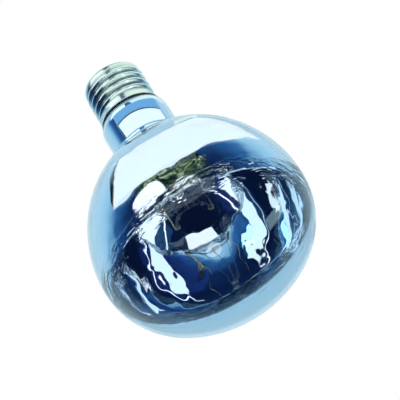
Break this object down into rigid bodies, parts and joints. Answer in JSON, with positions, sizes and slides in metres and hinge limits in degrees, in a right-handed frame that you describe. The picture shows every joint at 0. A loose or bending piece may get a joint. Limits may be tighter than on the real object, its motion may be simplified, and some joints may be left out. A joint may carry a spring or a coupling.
{
  "type": "reflector bulb",
  "caption": "Screw-cap reflector bulb with a clear domed front, a mirrored bowl and neck, a rolled screw shell, and a wire-held filament seen inside.",
  "frame": {"origin": "middle of the flat tip of the end contact, on the lamp's axis", "axes": "+Z along the lamp's axis from the cap to the front, +X along the line through the two lead wires, -Y towards the bow of the filament and the camera"},
  "size_m": [0.095, 0.095, 0.1333],
  "materials": {
    "clear_glass": "fire-polished blown glass with a faint blue tint",
    "mirror_film": "bright vacuum-deposited aluminium film",
    "cap_metal": "thin rolled sheet, bright nickel plate",
    "black_glass": "pressed black glass, glossy",
    "contact_brass": "stamped plain brass",
    "solder": "dull tin solder",
    "cement": "baked resin and marble flour",
    "stem_glass": "drawn and pressed lead glass",
    "copper_wire": "drawn copper-clad wire",
    "nickel_wire": "drawn nickel wire",
    "molybdenum_wire": "drawn molybdenum wire",
    "tungsten": "fine coiled tungsten wire"
  },
  "bodies": {
    "root": {"glass_bulb": "clear_glass", "mirror_coating": "mirror_film", "cap_shell": "cap_metal", "cap_insulator": "black_glass", "end_contact": "contact_brass", "contact_solder": "solder", "side_solder": "solder", "cap_cement": "cement", "stem_flare": "stem_glass", "exhaust_tube": "stem_glass", "arbor_rod": "stem_glass", "seal_wire_left": "copper_wire", "seal_wire_right": "copper_wire", "contact_lead": "copper_wire", "shell_lead": "copper_wire", "lead_wire_left": "nickel_wire", "lead_wire_right": "nickel_wire", "support_wire_left": "molybdenum_wire", "support_wire_middle": "molybdenum_wire", "support_wire_right": "molybdenum_wire", "filament": "tungsten"}
  },
  "joints": []
}
